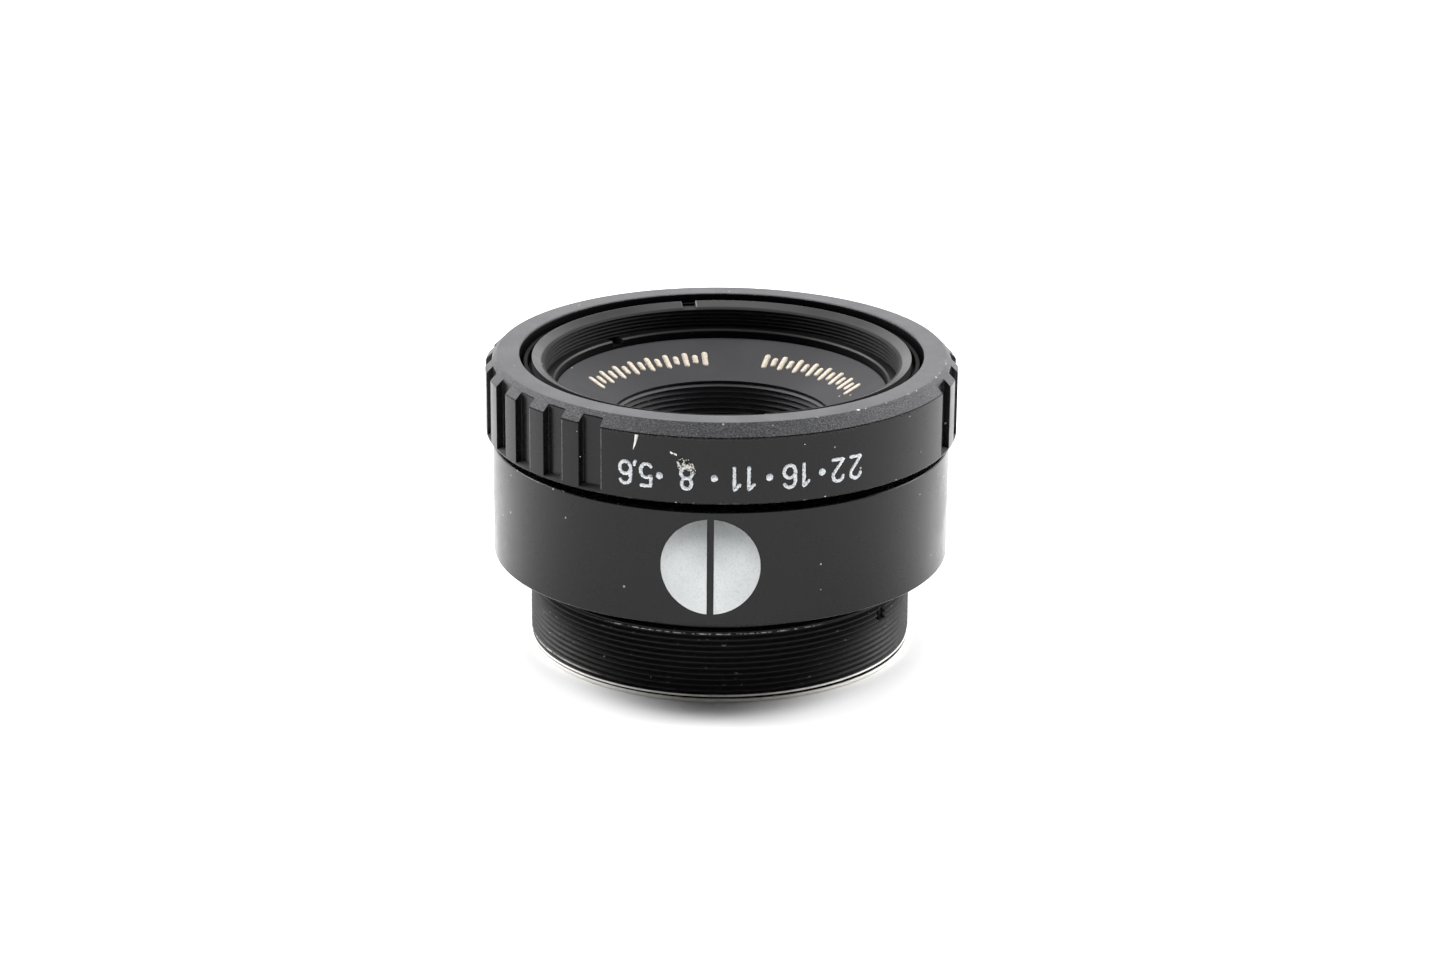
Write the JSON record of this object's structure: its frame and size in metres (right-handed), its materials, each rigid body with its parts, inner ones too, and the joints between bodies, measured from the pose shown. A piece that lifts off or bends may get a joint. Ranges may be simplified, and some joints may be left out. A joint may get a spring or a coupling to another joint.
{
  "type": "enlarger lens",
  "caption": "Compact enlarger lens with a fluted click-stop aperture ring, a working iris, a filter thread at the front and a fine rear mounting thread.",
  "frame": {"origin": "centre of the rear rim, on the plane that the lens stands on", "axes": "+Z along the optical axis towards the front of the lens, index mark at -Y"},
  "size_m": [0.04, 0.04, 0.0254],
  "materials": {
    "black_anodised": "black anodised, satin, worn bright on its edges",
    "matte_black": "matte black paint on turned aluminium",
    "coated_glass": "polished, with a bluish anti-reflection coating",
    "brass": "turned",
    "steel": "bright",
    "blade_steel": "blackened steel, satin",
    "white_paint": "paint filled into shallow engraving",
    "cream_paint": "paint filled into shallow engraving"
  },
  "bodies": {
    "barrel": {"main_barrel": "black_anodised", "lens_tube": "black_anodised", "ring_nut": "black_anodised", "wave_washer": "steel", "iris_base": "matte_black", "iris_cover": "matte_black", "cell_shim": "brass", "front_cell": "matte_black", "front_crown_lens": "coated_glass", "front_flint_lens": "coated_glass", "front_inner_lens": "coated_glass", "front_spacer": "matte_black", "front_lens_ring": "matte_black", "name_ring": "matte_black", "front_retainer": "black_anodised", "rear_cell": "matte_black", "rear_inner_lens": "coated_glass", "rear_flint_lens": "coated_glass", "rear_crown_lens": "coated_glass", "rear_spacer": "matte_black", "rear_lens_ring": "matte_black", "grub_screw": "steel", "click_spring": "steel"},
    "ring": {"aperture_ring": "black_anodised", "drive_pin": "steel", "cam_ring": "brass"},
    "blade_1": {"iris_blade_1": "blade_steel"},
    "blade_2": {"iris_blade_2": "blade_steel"},
    "blade_3": {"iris_blade_3": "blade_steel"},
    "blade_4": {"iris_blade_4": "blade_steel"},
    "blade_5": {"iris_blade_5": "blade_steel"},
    "ball": {"click_ball": "steel"}
  },
  "joints": [
    {"name": "aperture_ring_turn", "type": "hinge", "parent": "barrel", "child": "ring", "pos_m": [0, 0, 0.022], "axis": [0, 0, 1], "range_deg": [-31.88, 19.12]},
    {"name": "blade_1_turn", "type": "hinge", "parent": "barrel", "child": "blade_1", "pos_m": [0.00774, -0.00917, 0.0091], "axis": [0, 0, 1], "range_deg": [-9.58, 15.96]},
    {"name": "blade_2_turn", "type": "hinge", "parent": "barrel", "child": "blade_2", "pos_m": [0.01111, 0.00452, 0.0091], "axis": [0, 0, 1], "range_deg": [-9.58, 15.96]},
    {"name": "blade_3_turn", "type": "hinge", "parent": "barrel", "child": "blade_3", "pos_m": [-0.00087, 0.01197, 0.0091], "axis": [0, 0, 1], "range_deg": [-9.58, 15.96]},
    {"name": "blade_4_turn", "type": "hinge", "parent": "barrel", "child": "blade_4", "pos_m": [-0.01165, 0.00287, 0.0091], "axis": [0, 0, 1], "range_deg": [-9.58, 15.96]},
    {"name": "blade_5_turn", "type": "hinge", "parent": "barrel", "child": "blade_5", "pos_m": [-0.00633, -0.01019, 0.0091], "axis": [0, 0, 1], "range_deg": [-9.58, 15.96]},
    {"name": "click_ball_travel", "type": "slide", "parent": "barrel", "child": "ball", "axis": [0, 0, 1], "range_m": [0, 0.00015], "deforming": ["click_spring"]}
  ],
  "couplings": [
    {"joint": "blade_1_turn", "follows": "aperture_ring_turn", "ratio": -0.5},
    {"joint": "blade_2_turn", "follows": "aperture_ring_turn", "ratio": -0.5},
    {"joint": "blade_3_turn", "follows": "aperture_ring_turn", "ratio": -0.5},
    {"joint": "blade_4_turn", "follows": "aperture_ring_turn", "ratio": -0.5},
    {"joint": "blade_5_turn", "follows": "aperture_ring_turn", "ratio": -0.5}
  ]
}
